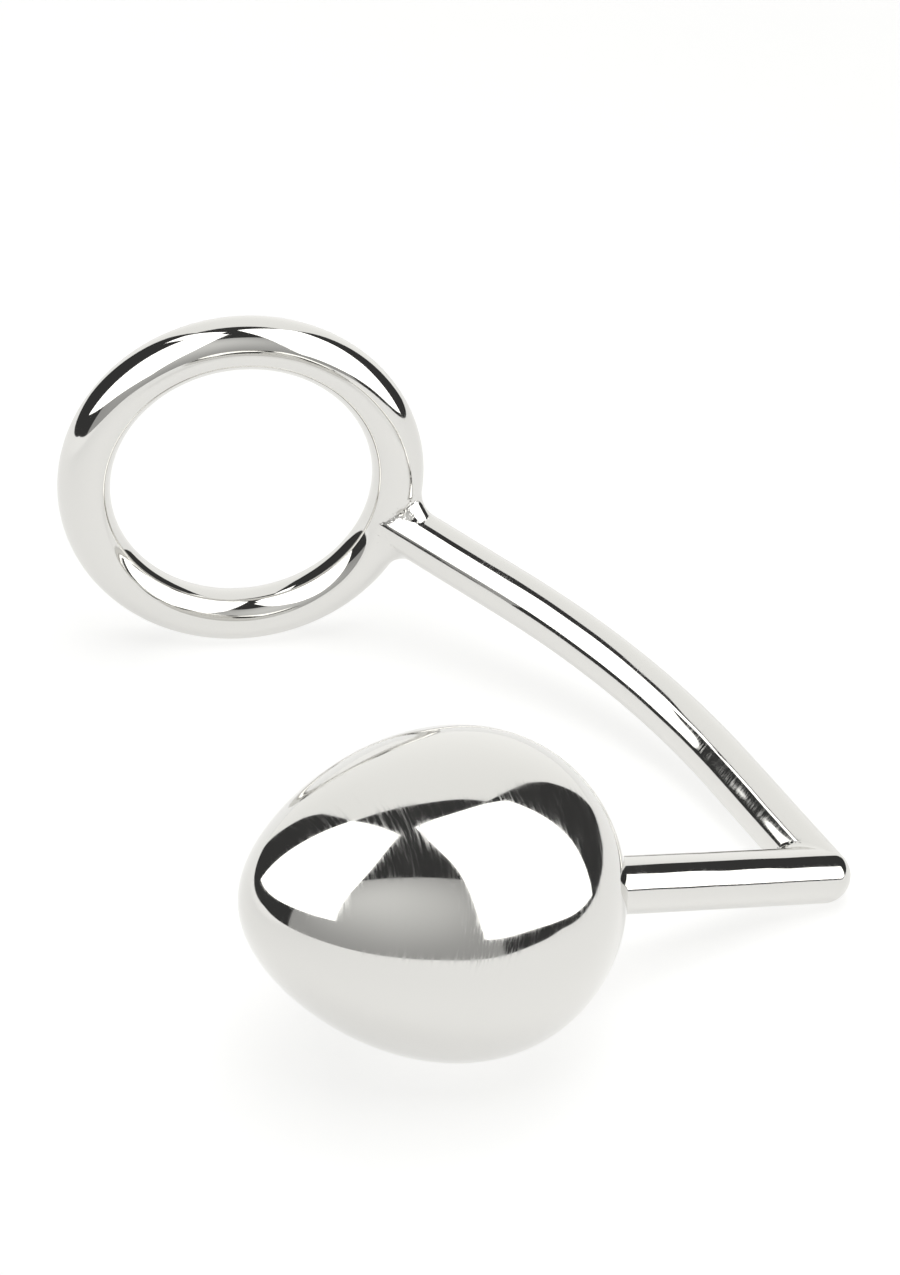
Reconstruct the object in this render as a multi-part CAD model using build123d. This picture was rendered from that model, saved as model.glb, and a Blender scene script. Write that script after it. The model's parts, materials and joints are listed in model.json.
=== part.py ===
from build123d import *
import math
import os

# Polished stainless steel hook, welded up rigid from four pieces. A ring of round bar carries a
# curved bar. That bar ends in a sharp corner, where a straight bar turns back and ends in an egg.
# The hook rests on three places: the ring's rim, the corner and the belly of the egg.
# Lengths are in millimetres and angles in degrees.

# Round bar, used for the ring and for both bars
STOCK_DIAMETER = 8.0

# Ring
RING_BORE_DIAMETER = 40.0

# Curved bar: a straight run from the ring, one gentle bend and a straight run to the corner
LEAN_FROM_RADIUS = 38.3
NEAR_RUN = 23.2
BEND_RADIUS = 88.4
BEND_TURN = 29.7
FAR_RUN = 24.1

# Straight bar: from the corner to the skin of the egg. It is cut from a rod that is a little longer.
CORNER_ANGLE = 87.8
STRAIGHT_RUN = 42.5
ROD_ALLOWANCE = 6.0

# Egg: its radius half-way along, how much it slims towards the free tip, and how it is filled out
EGG_LENGTH = 53.0
EGG_MIDDLE_RADIUS = 21.25
EGG_TAPER = 0.23
EGG_SLIMMING = 0.04
EGG_OUTLINE_STEPS = 16

# Weld beads, ground to a smooth hollow blend
RING_WELD_RADIUS = 4.0
CORNER_WELD_RADIUS = 2.0
EGG_WELD_RADIUS = 2.0

# Distance from a joint within which its bead is shaped
JOINT_REACH = 14.0

# How finely the resting contacts are searched for
REST_PASSES = 60
EGG_SEARCH_STEPS = 4000

STOCK_RADIUS = STOCK_DIAMETER / 2
RING_RADIUS = RING_BORE_DIAMETER / 2 + STOCK_RADIUS
EGG_HALF = EGG_LENGTH / 2


# The hook is drawn flat first. Both bars and the egg's axis lie in the XY plane, the ring's centre
# is the origin, and the ring stands across that plane with its axis along Y.

def heading(degrees):
    """Unit direction in the plane of the hook, measured from +X towards +Y."""
    return Vector(math.cos(math.radians(degrees)), math.sin(math.radians(degrees)), 0)


def curved_bar_line():
    """Centreline of the curved bar, from the ring's centreline to the corner."""
    start = Vector(RING_RADIUS, 0, 0)
    near = Line(start, start + heading(LEAN_FROM_RADIUS) * NEAR_RUN)
    bend = JernArc(near @ 1, near % 1, BEND_RADIUS, BEND_TURN)
    far = Line(bend @ 1, (bend @ 1) + (bend % 1) * FAR_RUN)
    return Wire([near.edge(), bend.edge(), far.edge()])


CURVED_LINE = curved_bar_line()
CORNER = CURVED_LINE @ 1
ARRIVING = heading(LEAN_FROM_RADIUS + BEND_TURN)
LEAVING = heading(LEAN_FROM_RADIUS + BEND_TURN + 180 - CORNER_ANGLE)
EGG_BASE = CORNER + LEAVING * STRAIGHT_RUN
EGG_CENTRE = EGG_BASE + LEAVING * EGG_HALF
MITRE = Plane(origin=CORNER, z_dir=(ARRIVING + LEAVING).normalized())


def egg_radius(station):
    """Radius of the egg at a station from -1, its thick end at the bar, to 1, its free tip."""
    fullness = 1 - EGG_TAPER * station - EGG_SLIMMING * station**2
    return EGG_MIDDLE_RADIUS * fullness * math.sqrt(max(0.0, 1 - station**2))


def ring():
    """Round bar bent to a closed ring."""
    return Torus(RING_RADIUS, STOCK_RADIUS, rotation=(90, 0, 0))


def corner_ball():
    """Ball that rounds the outside of the corner."""
    return Pos(*CORNER) * Sphere(STOCK_RADIUS)


def long_rod():
    """Curved bar before its ends are cut to fit the ring and the corner."""
    section = Plane(origin=CURVED_LINE @ 0, z_dir=CURVED_LINE % 0) * Circle(STOCK_RADIUS)
    return sweep(section, path=CURVED_LINE) + corner_ball()


def short_rod():
    """Straight bar before its end is cut to fit the corner."""
    length = STRAIGHT_RUN + ROD_ALLOWANCE
    rod = extrude(Plane(origin=CORNER, z_dir=LEAVING) * Circle(STOCK_RADIUS), length)
    return rod + corner_ball()


def curved_bar():
    """Coped against the ring at one end and mitred at the corner."""
    return split(long_rod(), bisect_by=MITRE, keep=Keep.BOTTOM) - ring()


def egg():
    """Solid egg turned about the straight bar's axis."""
    steps = range(EGG_OUTLINE_STEPS + 1)
    stations = [-math.cos(math.pi * step / EGG_OUTLINE_STEPS) for step in steps]
    points = [(egg_radius(station), EGG_HALF * station) for station in stations]
    skin = Spline(points, tangents=[(1, 0), (-1, 0)])
    core = Line(points[-1], points[0])
    outline = Plane.XZ * make_face([skin.edge(), core.edge()])
    return Plane(origin=EGG_CENTRE, z_dir=LEAVING) * revolve(outline, Axis.Z)


def straight_bar():
    """Mitred at the corner and coped against the egg."""
    return split(short_rod(), bisect_by=MITRE, keep=Keep.TOP) - egg()


def near_rod():
    """Straight run of the curved bar beside the ring, on its own."""
    return extrude(Plane(origin=CURVED_LINE @ 0, z_dir=CURVED_LINE % 0) * Circle(STOCK_RADIUS), NEAR_RUN)


def far_rod():
    """Straight run of the curved bar up to the corner, on its own."""
    rod = extrude(Plane(origin=CORNER, z_dir=-ARRIVING) * Circle(STOCK_RADIUS), FAR_RUN)
    return rod + corner_ball()


def bead(first, second, joint, reach, seam_kind, radius):
    """Hollow blend along the seam between two shapes near their joint, without the shapes."""
    near = Pos(*joint) * Sphere(reach)
    first_end = first & near
    second_end = second & near
    joined = first_end + second_end
    seam = [edge for edge in joined.edges().filter_by(seam_kind)
            if (edge.center() - joint).length < reach / 2]
    return joined.fillet(radius, seam) - first_end - second_end


def ring_weld():
    """Bead on each side of the curved bar where it lands on the ring."""
    return bead(ring(), near_rod(), CURVED_LINE @ 0, JOINT_REACH, GeomType.BSPLINE, RING_WELD_RADIUS)


def corner_weld():
    """Bead in the inside of the corner."""
    return bead(far_rod(), short_rod(), CORNER, JOINT_REACH, GeomType.ELLIPSE, CORNER_WELD_RADIUS)


def egg_weld():
    """Bead all round the straight bar where it enters the egg."""
    return bead(egg(), short_rod(), EGG_BASE, JOINT_REACH, GeomType.BSPLINE, EGG_WELD_RADIUS)


def ring_foot(up):
    """Lowest point of the ring when up is the vertical."""
    across = Vector(up.X, 0, up.Z).normalized()
    return -across * RING_RADIUS - up * STOCK_RADIUS


def egg_foot(up):
    """Lowest point of the egg when up is the vertical."""
    rise = up.dot(LEAVING)
    side = up - LEAVING * rise
    outward = -side.normalized()
    stations = [2 * step / EGG_SEARCH_STEPS - 1 for step in range(EGG_SEARCH_STEPS + 1)]
    lowest = min(stations, key=lambda s: EGG_HALF * s * rise - egg_radius(s) * side.length)
    return EGG_CENTRE + LEAVING * EGG_HALF * lowest + outward * egg_radius(lowest)


def resting_up():
    """Vertical of the table on which the ring, the corner and the egg all stand."""
    up = Vector(0, 0, -1)
    for _ in range(REST_PASSES):
        ring_point = ring_foot(up)
        corner_point = CORNER - up * STOCK_RADIUS
        egg_point = egg_foot(up)
        level = (egg_point - ring_point).cross(corner_point - ring_point)
        up = (up + level.normalized()).normalized()
    return up


def on_table():
    """Placement from the flat drawing to the resting hook, with +X from the ring to the corner."""
    up = resting_up()
    table = Plane(origin=ring_foot(up), x_dir=Vector(1, 0, 0) - up * up.X, z_dir=up)
    return table.location.inverse()


def build():
    """Every piece by name, standing on the table with the origin under the middle of the hook."""
    pieces = {
        "ring": ring(),
        "curved_bar": curved_bar(),
        "straight_bar": straight_bar(),
        "egg": egg(),
        "ring_weld": ring_weld(),
        "corner_weld": corner_weld(),
        "egg_weld": egg_weld(),
    }
    stand = on_table()
    standing = {name: piece.moved(stand) for name, piece in pieces.items()}
    solids = [solid for piece in standing.values() for solid in piece.solids()]
    box = Compound(solids).bounding_box()
    centre = Pos(-box.center().X, -box.center().Y, -box.min.Z)
    return {name: piece.moved(centre) for name, piece in standing.items()}


os.makedirs("parts", exist_ok=True)
for node, solid in build().items():
    export_step(solid, f"parts/{node}.step")
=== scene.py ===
import json
import math

import bpy
from mathutils import Matrix, Vector


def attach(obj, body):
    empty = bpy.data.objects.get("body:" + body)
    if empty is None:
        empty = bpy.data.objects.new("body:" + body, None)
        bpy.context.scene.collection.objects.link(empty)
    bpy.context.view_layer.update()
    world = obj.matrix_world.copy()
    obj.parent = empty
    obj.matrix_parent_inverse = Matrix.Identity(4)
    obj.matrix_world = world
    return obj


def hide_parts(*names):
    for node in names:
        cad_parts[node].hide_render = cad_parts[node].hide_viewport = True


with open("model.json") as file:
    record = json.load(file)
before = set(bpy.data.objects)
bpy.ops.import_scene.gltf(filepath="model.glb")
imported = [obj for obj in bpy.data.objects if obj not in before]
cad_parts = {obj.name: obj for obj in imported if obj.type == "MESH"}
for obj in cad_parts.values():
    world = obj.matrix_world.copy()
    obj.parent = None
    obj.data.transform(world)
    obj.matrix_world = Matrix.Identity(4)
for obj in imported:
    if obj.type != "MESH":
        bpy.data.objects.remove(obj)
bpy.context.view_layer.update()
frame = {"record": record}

# ---------------------------------------------------------------------------------------------
# Camera. It stands in front of the egg, looks down at the whole hook and is tipped a little to
# one side. A short telephoto lens on a portrait frame.
CAMERA_PLACE = Vector((-0.0768, -0.3352, 0.2610))
CAMERA_TURN = math.radians(12.35)
CAMERA_DOWN = math.radians(33.28)
CAMERA_ROLL = math.radians(4.55)
SENSOR_HEIGHT = 36.0
LENS = 84.7
NEAREST_SEEN = 0.01

camera_data = bpy.data.cameras.new("camera")
camera_data.sensor_fit = "VERTICAL"
camera_data.sensor_height = SENSOR_HEIGHT
camera_data.lens = LENS
camera_data.clip_start = NEAREST_SEEN
camera = bpy.data.objects.new("camera", camera_data)
bpy.context.scene.collection.objects.link(camera)
pan = Matrix.Rotation(-CAMERA_TURN, 4, "Z")
tilt = Matrix.Rotation(math.pi / 2 - CAMERA_DOWN, 4, "X")
roll = Matrix.Rotation(CAMERA_ROLL, 4, "Z")
camera.matrix_world = Matrix.Translation(CAMERA_PLACE) @ pan @ tilt @ roll
bpy.context.scene.camera = camera

# ---------------------------------------------------------------------------------------------
# Ring. Round 8 mm stainless bar, rolled to a circle, butt-welded shut, ground and mirror-polished.
# Its opening is 40 mm across. The bars and the egg's axis lie in one flat plane through its centre.
STOCK_RADIUS = 0.004
RING_RADIUS = 0.024
RING_STEPS = 320
STOCK_STEPS = 96
RING_WEAR = 0.12

mounts = {mount["name"]: mount for mount in frame["record"]["mounts"]}
ring_centre = Vector(mounts["ring_opening"]["pos_m"])
corner = Vector(mounts["corner_rest"]["pos_m"]) + Vector((0, 0, STOCK_RADIUS))
across = -Vector(mounts["ring_opening"]["axis"]).normalized()
outward = (corner - ring_centre) - across * across.dot(corner - ring_centre)
outward.normalize()
plane_normal = outward.cross(across)
hook_plane = Matrix((outward, across, plane_normal)).transposed().to_4x4()
hook_plane.translation = ring_centre


def linear(hex_colour):
    """Linear red, green, blue and alpha of an sRGB hex colour."""
    parts = [int(hex_colour[i:i + 2], 16) / 255 for i in (1, 3, 5)]
    return [c / 12.92 if c <= 0.04045 else ((c + 0.055) / 1.055) ** 2.4 for c in parts] + [1.0]


def node(tree, kind, links=(), inputs=(), **settings):
    """Adds a node with its settings, its fixed inputs and its incoming links."""
    new = tree.nodes.new(kind)
    for name, value in settings.items():
        setattr(new, name, value)
    for name, value in inputs:
        new.inputs[name].default_value = value
    for name, socket in links:
        tree.links.new(socket, new.inputs[name])
    return new


STEEL_COLOUR = "#dcdbd8"
STEEL_ROUGHNESS = 0.035
LINE_SPACING = 0.0002
LINE_LENGTH = 0.004
LINE_DETAIL = 3.0
LINE_RAGGEDNESS = 0.6
LINE_FAINTEST = 0.40
LINE_DEEPEST = 0.80
PATCH_SIZE = 0.009
PATCH_DETAIL = 2.0
PATCH_CLEANEST = 0.38
PATCH_MOST_RUBBED = 0.62
CLEAN_PATCH_SHARE = 0.3
WAVE_SIZE = 0.009
WAVE_HEIGHT = 0.00018
PIT_SIZE = 0.0005
PIT_EDGE = 0.58
PIT_FLOOR = 0.72


def polished_steel(name, axis, wear, pits=0.0):
    """Stainless steel, mirror-polished on a felt wheel.

    Reflections are sharp and pale and waver a little. Fine lines run round the axis, more of them
    in rubbed patches, and catch light where the reflection is dark. Real lines are about 0.05 mm
    apart, too fine to show, so they are drawn 0.2 mm apart. Wear is the roughness in the deepest
    lines. Pits is the depth in metres of the pores that are left in a weld.
    """
    material = bpy.data.materials.new(name)
    material.use_nodes = True
    tree = material.node_tree
    shader = tree.nodes["Principled BSDF"]
    shader.inputs["Base Color"].default_value = linear(STEEL_COLOUR)
    shader.inputs["Metallic"].default_value = 1.0
    place = node(tree, "ShaderNodeTexCoord").outputs["Object"]
    round_axis = node(
        tree, "ShaderNodeMapping", vector_type="TEXTURE", links=(("Vector", place),),
        inputs=(("Rotation", axis.to_track_quat("Z", "Y").to_euler()),
                ("Scale", (LINE_LENGTH, LINE_LENGTH, LINE_SPACING))))
    lines = node(tree, "ShaderNodeTexNoise", links=(("Vector", round_axis.outputs[0]),),
                 inputs=(("Scale", 1.0), ("Detail", LINE_DETAIL), ("Roughness", LINE_RAGGEDNESS)))
    fine = node(tree, "ShaderNodeMapRange", links=(("Value", lines.outputs[0]),),
                inputs=(("From Min", LINE_FAINTEST), ("From Max", LINE_DEEPEST)))
    patches = node(tree, "ShaderNodeTexNoise", links=(("Vector", place),),
                   inputs=(("Scale", 1 / PATCH_SIZE), ("Detail", PATCH_DETAIL)))
    rubbed = node(tree, "ShaderNodeMapRange", links=(("Value", patches.outputs[0]),),
                  inputs=(("From Min", PATCH_CLEANEST), ("From Max", PATCH_MOST_RUBBED),
                          ("To Min", CLEAN_PATCH_SHARE)))
    worn = node(tree, "ShaderNodeMath", operation="MULTIPLY",
                links=((0, fine.outputs[0]), (1, rubbed.outputs[0])))
    gloss = node(tree, "ShaderNodeMapRange", links=(("Value", worn.outputs[0]),),
                 inputs=(("To Min", STEEL_ROUGHNESS), ("To Max", wear)))
    tree.links.new(gloss.outputs[0], shader.inputs["Roughness"])
    wave = node(tree, "ShaderNodeTexNoise", links=(("Vector", place),),
                inputs=(("Scale", 1 / WAVE_SIZE), ("Detail", 0.0)))
    surface = node(tree, "ShaderNodeBump", links=(("Height", wave.outputs[0]),),
                   inputs=(("Distance", WAVE_HEIGHT),))
    if pits:
        pores = node(tree, "ShaderNodeTexNoise", links=(("Vector", place),),
                     inputs=(("Scale", 1 / PIT_SIZE), ("Detail", 1.0)))
        open_pores = node(tree, "ShaderNodeMapRange", links=(("Value", pores.outputs[0]),),
                          inputs=(("From Min", PIT_EDGE), ("From Max", PIT_FLOOR)))
        surface = node(tree, "ShaderNodeBump", invert=True, inputs=(("Distance", pits),),
                       links=(("Height", open_pores.outputs[0]), ("Normal", surface.outputs[0])))
    tree.links.new(surface.outputs[0], shader.inputs["Normal"])
    return material


def give(piece, material):
    """Makes a material the piece's only one."""
    piece.data.materials.clear()
    piece.data.materials.append(material)


def place_in_plane(piece):
    """Moves a piece drawn flat into the hook's plane, leaving its object at the origin."""
    bpy.ops.object.transform_apply(location=True, rotation=True, scale=True)
    piece.data.transform(hook_plane)


bpy.ops.object.select_all(action="DESELECT")
bpy.ops.mesh.primitive_torus_add(
    major_radius=RING_RADIUS, minor_radius=STOCK_RADIUS,
    major_segments=RING_STEPS, minor_segments=STOCK_STEPS, rotation=(math.pi / 2, 0, 0))
ring = bpy.context.object
ring.name = "polished_ring"
bpy.ops.object.shade_smooth()
place_in_plane(ring)
give(ring, polished_steel("stainless_ring_mirror_polished", across, RING_WEAR))
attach(ring, "root")
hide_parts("ring")

# ---------------------------------------------------------------------------------------------
# Curved bar. The same 8 mm bar, coped to the ring, bent once over a large former and mitred at
# the corner, where the outside of the joint is ground round like a ball.
LEAN = math.radians(38.3)
NEAR_RUN = 0.0232
BEND_RADIUS = 0.0884
BEND_TURN = math.radians(29.7)
FAR_RUN = 0.0241
CORNER_ANGLE = math.radians(87.8)
BEND_STEPS = 64
BALL_STEPS = 24
MERGE_REACH = 1e-7
BAR_WEAR = 0.25


def heading(angle):
    """Unit direction in the flat drawing of the hook."""
    return Vector((math.cos(angle), math.sin(angle), 0))


def bar_end(place, direction, name):
    """Disc of bar stock at a place, facing along a direction, left in edit mode and selected."""
    bpy.ops.object.select_all(action="DESELECT")
    facing = direction.to_track_quat("Z", "Y").to_euler()
    bpy.ops.mesh.primitive_circle_add(
        vertices=STOCK_STEPS, radius=STOCK_RADIUS, fill_type="NGON",
        location=place, rotation=facing)
    piece = bpy.context.object
    piece.name = name
    bpy.ops.object.transform_apply(location=True, rotation=True, scale=True)
    bpy.ops.object.mode_set(mode="EDIT")
    bpy.ops.mesh.select_all(action="SELECT")
    return piece


def pull(offset):
    """Draws the selected end of a bar out by an offset."""
    bpy.ops.mesh.extrude_region_move(TRANSFORM_OT_translate={"value": offset})


joint = heading(0) * RING_RADIUS
near_end = joint + heading(LEAN) * NEAR_RUN
bend_centre = near_end + heading(LEAN + math.pi / 2) * BEND_RADIUS
far_start = bend_centre + heading(LEAN + BEND_TURN - math.pi / 2) * BEND_RADIUS
arriving = heading(LEAN + BEND_TURN)
bend_corner = far_start + arriving * FAR_RUN
leaving = heading(LEAN + BEND_TURN + math.pi - CORNER_ANGLE)
mitre = (arriving + leaving).normalized()


def round_end(direction):
    """Rounds the selected end of a bar to a half ball, ring by ring."""
    for step in range(1, BALL_STEPS):
        before = math.pi / 2 * (step - 1) / BALL_STEPS
        after = math.pi / 2 * step / BALL_STEPS
        rise = direction * STOCK_RADIUS * (math.sin(after) - math.sin(before))
        shrink = math.cos(after) / math.cos(before)
        pull(rise)
        bpy.ops.transform.resize(value=(shrink, shrink, shrink))


def cut_at_mitre(keep_side):
    """Cuts the bar in edit mode along the mitre plane and closes the cut."""
    bpy.ops.mesh.select_all(action="SELECT")
    bpy.ops.mesh.bisect(
        plane_co=bend_corner, plane_no=mitre * keep_side, use_fill=True, clear_outer=True)
    bpy.ops.mesh.select_all(action="SELECT")
    bpy.ops.mesh.remove_doubles(threshold=MERGE_REACH)
    bpy.ops.mesh.normals_make_consistent(inside=False)
    bpy.ops.object.mode_set(mode="OBJECT")


def polish_true(piece, axis_point):
    """Gives every point of a bar the exact normal of round stock, so that it mirrors cleanly."""
    bpy.ops.object.shade_smooth()
    normals = [(v.co - axis_point(v.co)).normalized() for v in piece.data.vertices]
    piece.data.normals_split_custom_set_from_vertices(normals)


def on_curved_bar(point):
    """Nearest point of the curved bar's centreline, in the flat drawing."""
    flat = Vector((point.x, point.y, 0))
    along_far = (flat - far_start).dot(arriving)
    if along_far > 0:
        return far_start + arriving * min(along_far, FAR_RUN)
    along_near = (flat - joint).dot(heading(LEAN))
    if along_near < NEAR_RUN:
        return joint + heading(LEAN) * along_near
    return bend_centre + (flat - bend_centre).normalized() * BEND_RADIUS


curved_bar = bar_end(joint, heading(LEAN), "polished_curved_bar")
pull(heading(LEAN) * NEAR_RUN)
bpy.ops.mesh.spin(steps=BEND_STEPS, angle=-BEND_TURN, center=bend_centre, axis=(0, 0, 1))
pull(arriving * FAR_RUN)
round_end(arriving)
cut_at_mitre(1)
polish_true(curved_bar, on_curved_bar)
place_in_plane(curved_bar)
bend_middle = hook_plane.to_3x3() @ heading(LEAN + BEND_TURN / 2)
give(curved_bar, polished_steel("stainless_bent_bar_mirror_polished", bend_middle, BAR_WEAR))
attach(curved_bar, "root")
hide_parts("curved_bar")

# ---------------------------------------------------------------------------------------------
# Ring welds. Two fillets of the same steel, laid by TIG where the curved bar meets the ring, one
# on each side of the hook's plane, and dressed smooth with a small round burr.
RING_WELD_RADIUS = 0.004
WELD_STEPS = 96
FILLET_STEPS = 24
ROOT_DEPTH = 0.1
WELD_REACH = math.radians(89.8)
HALVINGS = 50
WELD_WEAR = 0.15
WELD_PIT_DEPTH = 0.00002


def slice_of(ball, touch_a, touch_b, root):
    """One slice of a fillet: the hollow that a ball leaves between two touch points, and a root."""
    start = touch_a - ball
    end = touch_b - ball
    hollow = [ball + start.slerp(end, step / FILLET_STEPS) * start.length
              for step in range(FILLET_STEPS + 1)]
    normals = [(ball - point).normalized() for point in hollow] + [(root - ball).normalized()]
    return hollow + [root], normals


def fillets(name, beads, closed=False):
    """Mesh piece of one or more fillets, each a list of slices, with its exact normals."""
    points, normals, faces = [], [], []
    for slices in beads:
        base = len(points)
        wide = len(slices[0][0])
        for slice_points, slice_normals in slices:
            points += slice_points
            normals += slice_normals
        for row in range(len(slices) if closed else len(slices) - 1):
            this = base + row * wide
            after = base + (row + 1) % len(slices) * wide
            for step in range(wide):
                turn_on = (step + 1) % wide
                faces.append((this + step, this + turn_on, after + turn_on, after + step))
        if not closed:
            faces.append(tuple(range(base, base + wide)))
            faces.append(tuple(range(len(points) - wide, len(points))))
    mesh = bpy.data.meshes.new(name)
    mesh.from_pydata(points, [], faces)
    piece = bpy.data.objects.new(name, mesh)
    bpy.context.scene.collection.objects.link(piece)
    bpy.ops.object.select_all(action="DESELECT")
    piece.select_set(True)
    bpy.context.view_layer.objects.active = piece
    bpy.ops.object.mode_set(mode="EDIT")
    bpy.ops.mesh.select_all(action="SELECT")
    bpy.ops.mesh.normals_make_consistent(inside=False)
    bpy.ops.object.mode_set(mode="OBJECT")
    bpy.ops.object.shade_smooth()
    piece.data.normals_split_custom_set_from_vertices(normals)
    return piece


def on_ring(point):
    """Nearest point of the ring's centreline, in the flat drawing."""
    return Vector((point.x, 0, point.z)).normalized() * RING_RADIUS


def beside_ring(distance, turn, side):
    """Point at one distance from the centrelines of ring and curved bar, turned round the bar."""
    bar_side = heading(LEAN + math.pi / 2) * math.sin(turn) + Vector((0, 0, side * math.cos(turn)))
    near, far = 0.0, 4 * distance
    for halving in range(HALVINGS):
        along = (near + far) / 2
        point = joint + heading(LEAN) * along + bar_side * distance
        if (point - on_ring(point)).length < distance:
            near = along
        else:
            far = along
    return point


def ring_fillet(side):
    """The slices of the fillet on one side of the hook's plane."""
    slices = []
    for step in range(WELD_STEPS + 1):
        turn = WELD_REACH * (2 * step / WELD_STEPS - 1)
        ball = beside_ring(STOCK_RADIUS + RING_WELD_RADIUS, turn, side)
        bar_axis = joint + heading(LEAN) * (ball - joint).dot(heading(LEAN))
        on_bar = bar_axis + (ball - bar_axis).normalized() * STOCK_RADIUS
        ring_axis = on_ring(ball)
        on_the_ring = ring_axis + (ball - ring_axis).normalized() * STOCK_RADIUS
        root = beside_ring(STOCK_RADIUS * (1 - ROOT_DEPTH), turn, side)
        slices.append(slice_of(ball, on_bar, on_the_ring, root))
    return slices


weld_steel = polished_steel("stainless_weld_dressed", across, WELD_WEAR, pits=WELD_PIT_DEPTH)
ring_weld = fillets("dressed_ring_weld", [ring_fillet(1), ring_fillet(-1)])
place_in_plane(ring_weld)
give(ring_weld, weld_steel)
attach(ring_weld, "root")
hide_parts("ring_weld")

# ---------------------------------------------------------------------------------------------
# Straight bar. The same 8 mm stainless bar, mitred and welded to the curved bar. Its other end runs
# a little way into the thick end of the egg.
STRAIGHT_RUN = 0.0425
EGG_ENTRY = 0.003


def on_straight_bar(point):
    """Nearest point of the straight bar's centreline, in the flat drawing."""
    along = (Vector((point.x, point.y, 0)) - bend_corner).dot(leaving)
    return bend_corner + leaving * max(along, 0)


whole_run = leaving * (STRAIGHT_RUN + EGG_ENTRY)
straight_bar = bar_end(bend_corner + whole_run, -leaving, "polished_straight_bar")
pull(-whole_run)
round_end(-leaving)
cut_at_mitre(-1)
polish_true(straight_bar, on_straight_bar)
place_in_plane(straight_bar)
straight_axis = hook_plane.to_3x3() @ leaving
give(straight_bar,
     polished_steel("stainless_straight_bar_mirror_polished", straight_axis, BAR_WEAR))
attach(straight_bar, "root")
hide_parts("straight_bar")

# ---------------------------------------------------------------------------------------------
# Corner weld. A small fillet of the same steel in the inside of the corner, laid across the mitre
# joint and dressed with the bars.
CORNER_WELD_RADIUS = 0.002


def beside_corner(distance, turn):
    """Point of the mitre plane at one distance from both bars' centrelines, turned round them."""
    inner = arriving.cross(Vector((0, 0, 1)))
    if inner.dot(leaving) < 0:
        inner = -inner
    bar_side = inner * math.cos(turn) + Vector((0, 0, math.sin(turn)))
    back = (bar_side * distance).dot(mitre) / arriving.dot(mitre)
    return bend_corner + bar_side * distance - arriving * back


corner_slices = []
for step in range(WELD_STEPS + 1):
    turn = WELD_REACH * (2 * step / WELD_STEPS - 1)
    ball = beside_corner(STOCK_RADIUS + CORNER_WELD_RADIUS, turn)
    touches = []
    for bar_heading in (arriving, leaving):
        bar_axis = bend_corner + bar_heading * (ball - bend_corner).dot(bar_heading)
        touches.append(bar_axis + (ball - bar_axis).normalized() * STOCK_RADIUS)
    root = beside_corner(STOCK_RADIUS * (1 - ROOT_DEPTH), turn)
    corner_slices.append(slice_of(ball, touches[0], touches[1], root))
corner_weld = fillets("dressed_corner_weld", [corner_slices])
place_in_plane(corner_weld)
give(corner_weld, weld_steel)
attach(corner_weld, "root")
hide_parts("corner_weld")

# ---------------------------------------------------------------------------------------------
# Egg. Solid stainless, turned on a lathe along the straight bar's axis, thick at the bar and slim
# at the free tip. It is polished as it spins, which leaves fine lines round it.
EGG_HALF = 0.0265
EGG_MIDDLE_RADIUS = 0.02125
EGG_TAPER = 0.23
EGG_SLIMMING = 0.04
EGG_STEPS = 256
EGG_ROWS = 160
EGG_WEAR = 0.26


def fullness(station):
    """Width of the egg where a ball is 1 wide, from its thick end at -1 to its tip at 1."""
    return EGG_MIDDLE_RADIUS * (1 - EGG_TAPER * station - EGG_SLIMMING * station ** 2)


egg_centre = bend_corner + leaving * (STRAIGHT_RUN + EGG_HALF)
bpy.ops.object.select_all(action="DESELECT")
bpy.ops.mesh.primitive_uv_sphere_add(segments=EGG_STEPS, ring_count=EGG_ROWS, radius=1.0)
egg = bpy.context.object
egg.name = "polished_egg"
for vertex in egg.data.vertices:
    wide = fullness(vertex.co.z)
    vertex.co = (vertex.co.x * wide, vertex.co.y * wide, vertex.co.z * EGG_HALF)
egg.location = egg_centre
egg.rotation_euler = leaving.to_track_quat("Z", "Y").to_euler()
bpy.ops.object.shade_smooth()
place_in_plane(egg)
give(egg, polished_steel("stainless_egg_mirror_polished", straight_axis, EGG_WEAR))
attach(egg, "root")
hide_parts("egg")

# ---------------------------------------------------------------------------------------------
# Egg weld. A ring of the same steel round the straight bar where it runs into the thick end of
# the egg, dressed to a small even fillet.
EGG_WELD_RADIUS = 0.0012
OUTLINE_STEP = 1e-4


def on_egg(turn):
    """Place along the axis and radius of the egg's outline, turned from its thick end."""
    station = -math.cos(turn)
    return Vector((EGG_HALF * (1 + station), fullness(station) * math.sin(turn)))


def off_egg(turn, distance):
    """Place at a distance off the egg's outline."""
    run = (on_egg(turn + OUTLINE_STEP) - on_egg(turn - OUTLINE_STEP)).normalized()
    return on_egg(turn) + Vector((-run.y, run.x)) * distance


# How far round its outline the egg touches the ball that forms the fillet
low, high = 0.0, 1.0
for halving in range(HALVINGS):
    egg_turn = (low + high) / 2
    if off_egg(egg_turn, EGG_WELD_RADIUS).y < STOCK_RADIUS + EGG_WELD_RADIUS:
        low = egg_turn
    else:
        high = egg_turn
egg_base = bend_corner + leaving * STRAIGHT_RUN
egg_slices = []
for step in range(WELD_STEPS):
    turn = 2 * math.pi * step / WELD_STEPS
    bar_side = leaving.cross(Vector((0, 0, 1))) * math.cos(turn) + Vector((0, 0, math.sin(turn)))
    ball, touch, root = [
        egg_base + leaving * place.x + bar_side * place.y
        for place in (off_egg(egg_turn, EGG_WELD_RADIUS), on_egg(egg_turn),
                      off_egg(egg_turn, -EGG_WELD_RADIUS))]
    egg_slices.append(slice_of(ball, ball - bar_side * EGG_WELD_RADIUS, touch, root))
egg_weld = fillets("dressed_egg_weld", [egg_slices], closed=True)
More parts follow.
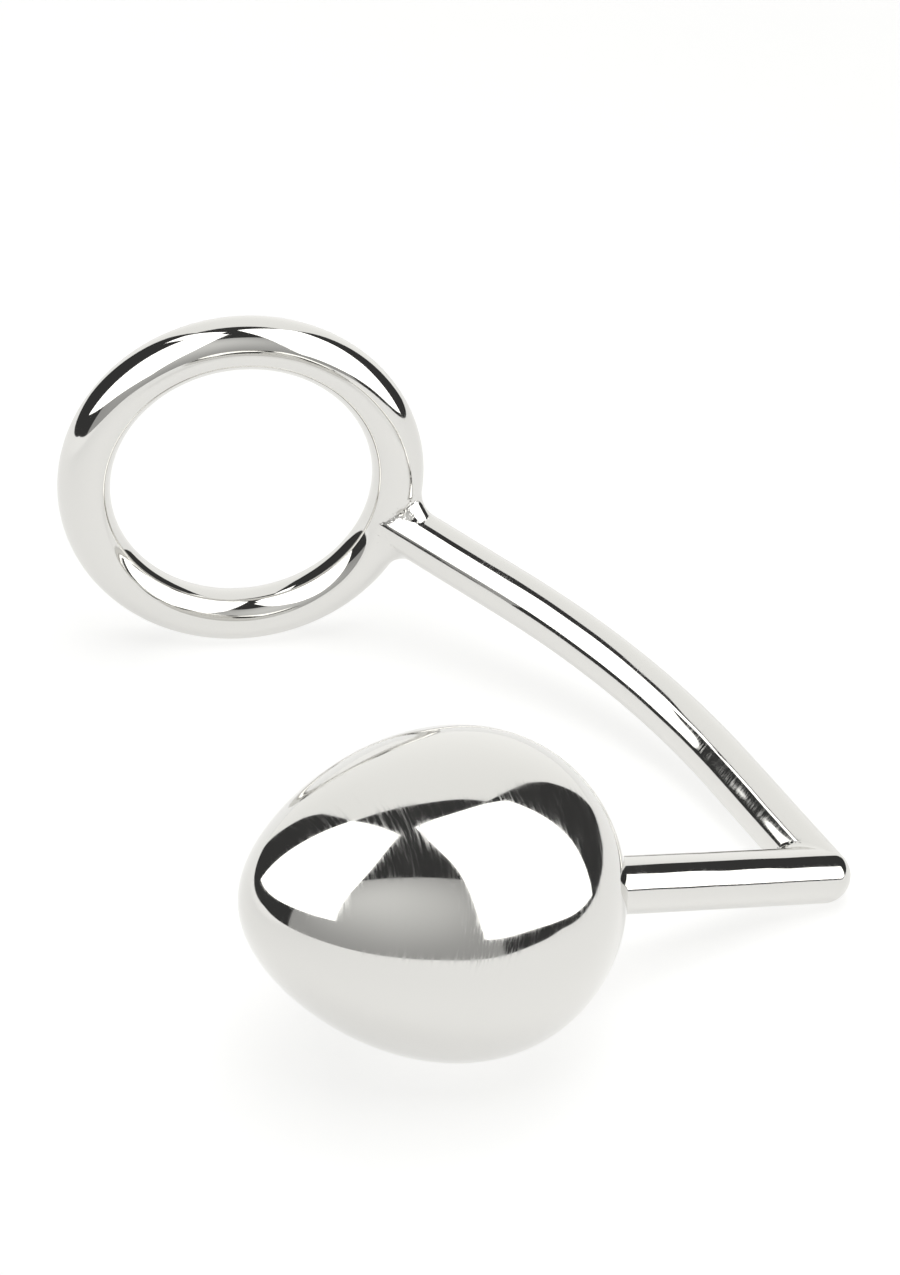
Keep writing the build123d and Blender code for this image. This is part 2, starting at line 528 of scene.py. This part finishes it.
place_in_plane(egg_weld)
give(egg_weld, weld_steel)
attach(egg_weld, "root")
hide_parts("egg_weld")

# ---------------------------------------------------------------------------------------------
# Studio. A metre-wide roll of white paper lies on a table, hangs behind the hook and curves over
# it. A large soft box leans in from the right, a small and a high one from the left, in a dark room
# with a rear wall that is painted light, a dim grey glow. Places are right of, ahead of and above
# the hook, as the camera sees it.
PAPER_LEFT = -0.56
PAPER_RIGHT = 0.44
PAPER_NEAR = -0.20
PAPER_FAR = 0.52
PAPER_GREY = "#a2a2a1"
PAPER_SHINE = "#fffffe"
PAPER_GLOW = 0.78
WARM_WHITE = "#fffffd"
HANGING_GLOW = 1.13
HANGING_GLOW_FAR = 1.04
HANGING_BRIGHTEST = (0, 0.55, 0.1)
HANGING_REACH = 0.7
SOFT_BOX_GLOW = 2.4
WALL_BEHIND = -1.5
WALL_LEFT = -1.4
WALL_RIGHT = 1.3
WALL_FOOT = -0.5
WALL_TOP = 1.9
WALL_GLOW = 0.78
WALL_GLOW_FAR = 0.40
WALL_BRIGHTEST = (0, WALL_BEHIND, 1.05)
WALL_REACH = 1.5
OVERHEAD_PLACE = (0, 0.1, 1.2)
OVERHEAD_SIZE = 1.4
OVERHEAD_WATTS = 26
ROOM_GLOW = 0.045
SURROUND_RADIUS = 4.0
SURROUND_GLOW = 1.2

studio_right = Vector((math.cos(CAMERA_TURN), -math.sin(CAMERA_TURN), 0))
studio_ahead = Vector((math.sin(CAMERA_TURN), math.cos(CAMERA_TURN), 0))


def in_studio(right, ahead, above):
    """Point of the row frame from a place in the studio."""
    return studio_right * right + studio_ahead * ahead + Vector((0, 0, above))


def panel(name, rows, material):
    """Stage sheet through rows of studio places, one row after the other, unseen by the camera."""
    mesh = bpy.data.meshes.new(name)
    points = [in_studio(*place) for row in rows for place in row]
    wide = len(rows[0])
    faces = [(r * wide + c, r * wide + c + 1, (r + 1) * wide + c + 1, (r + 1) * wide + c)
             for r in range(len(rows) - 1) for c in range(wide - 1)]
    mesh.from_pydata(points, [], faces)
    sheet = bpy.data.objects.new(name, mesh)
    bpy.context.scene.collection.objects.link(sheet)
    give(sheet, material)
    sheet.visible_camera = False
    return sheet


def glow(name, colour, strength, faint=None, middle=(0, 0, 0), reach=1.0):
    """Surface that only gives off light, evenly or fading from a middle to a fainter strength."""
    material = bpy.data.materials.new(name)
    material.use_nodes = True
    tree = material.node_tree
    tree.nodes.clear()
    light = node(tree, "ShaderNodeEmission",
                 inputs=(("Color", linear(colour)), ("Strength", strength)))
    if faint is not None:
        place = node(tree, "ShaderNodeTexCoord")
        away = node(tree, "ShaderNodeVectorMath", operation="DISTANCE",
                    inputs=((1, middle),), links=((0, place.outputs["Object"]),))
        fade = node(tree, "ShaderNodeMapRange", interpolation_type="SMOOTHSTEP",
                    inputs=(("From Max", reach), ("To Min", strength), ("To Max", faint)),
                    links=(("Value", away.outputs["Value"]),))
        tree.links.new(fade.outputs["Result"], light.inputs["Strength"])
    node(tree, "ShaderNodeOutputMaterial", links=(("Surface", light.outputs[0]),))
    return material


# Uncoated paper, pressed matt. It looks an even white, and the hook's shadow on it is soft and faint.
white_paper = bpy.data.materials.new("white_paper_matt")
white_paper.use_nodes = True
paper_shader = white_paper.node_tree.nodes["Principled BSDF"]
paper_shader.inputs["Base Color"].default_value = linear(PAPER_GREY)
paper_shader.inputs["Roughness"].default_value = 1.0
paper_shader.inputs["Specular IOR Level"].default_value = 0.0
paper_shader.inputs["Emission Color"].default_value = linear(PAPER_SHINE)
paper_shader.inputs["Emission Strength"].default_value = PAPER_GLOW
floor = panel("floor", [
    [(PAPER_LEFT, PAPER_NEAR, 0), (PAPER_RIGHT, PAPER_NEAR, 0)],
    [(PAPER_LEFT, PAPER_FAR, 0), (PAPER_RIGHT, PAPER_FAR, 0)]], white_paper)
floor.visible_camera = True

# How far ahead and how high the paper hangs at each row, and the share of its width that is lit.
# It glows a clear white, painted light that is brightest low in its middle and fades a little towards
# its top.
hanging = [(PAPER_FAR, 0.0, 1.0), (0.55, 0.03, 1.0), (0.565, 0.10, 1.0), (0.575, 0.22, 1.0),
           (0.573, 0.36, 0.97), (0.54, 0.45, 0.93), (0.48, 0.52, 0.85), (0.40, 0.565, 0.77),
           (0.32, 0.59, 0.68), (0.24, 0.605, 0.585), (0.15, 0.615, 0.48)]
backdrop = panel("backdrop", [
    [(PAPER_LEFT * width, ahead, above), (PAPER_RIGHT * width, ahead, above)]
    for ahead, above, width in hanging],
    glow("lit_paper", WARM_WHITE, HANGING_GLOW, HANGING_GLOW_FAR,
         in_studio(*HANGING_BRIGHTEST), HANGING_REACH))

# Woven diffuser cloth, lit from inside. It is blank white in every reflection.
soft_light = glow("soft_box_cloth", WARM_WHITE, SOFT_BOX_GLOW)
right_box = panel("right_soft_box", [
    [(0.016, -0.050, 0.953), (0.467, 0.351, 0.912)],
    [(0.200, -0.348, 0.053), (0.651, 0.053, 0.012)]], soft_light)
left_box = panel("left_soft_box", [
    [(-0.021, -0.080, 0.369), (-0.105, 0.024, 0.241)],
    [(-0.081, -0.296, 0.085), (-0.214, -0.007, 0.060)]], soft_light)
left_top_box = panel("left_top_soft_box", [
    [(-0.049, -0.122, 0.886), (-0.405, 0.191, 0.754)],
    [(-0.136, -0.389, 0.810), (-0.520, 0.206, 0.672)]], soft_light)
# The rear wall is a sheet of painted light: it glows a dim grey, brightest at one spot in its middle
# and fading outwards.
rear_wall = panel("rear_wall", [
    [(WALL_LEFT, WALL_BEHIND, WALL_FOOT), (WALL_RIGHT, WALL_BEHIND, WALL_FOOT)],
    [(WALL_LEFT, WALL_BEHIND, WALL_TOP), (WALL_RIGHT, WALL_BEHIND, WALL_TOP)]],
    glow("rear_wall_painted_glow", WARM_WHITE, WALL_GLOW, WALL_GLOW_FAR,
         in_studio(*WALL_BRIGHTEST), WALL_REACH))
for unlit in (right_box, left_box, left_top_box, rear_wall, backdrop):
    unlit.visible_diffuse = False

bpy.ops.object.light_add(type="AREA", location=in_studio(*OVERHEAD_PLACE))
overhead = bpy.context.object
overhead.name = "overhead_diffuser"
overhead.data.shape = "SQUARE"
overhead.data.size = OVERHEAD_SIZE
overhead.data.energy = OVERHEAD_WATTS
overhead.visible_glossy = False

world = bpy.data.worlds.new("dark_room")
bpy.context.scene.world = world
world.use_nodes = True
world.node_tree.nodes["Background"].inputs["Color"].default_value = (1, 1, 1, 1)
world.node_tree.nodes["Background"].inputs["Strength"].default_value = ROOM_GLOW

bpy.ops.object.select_all(action="DESELECT")
bpy.ops.mesh.primitive_uv_sphere_add(segments=48, ring_count=24, radius=SURROUND_RADIUS)
surround = bpy.context.object
surround.name = "pale_surround"
give(surround, glow("pale_surround", "#ffffff", SURROUND_GLOW))
for unseen in ("visible_diffuse", "visible_glossy", "visible_transmission", "visible_shadow"):
    setattr(surround, unseen, False)

bpy.context.scene.view_settings.view_transform = "Standard"
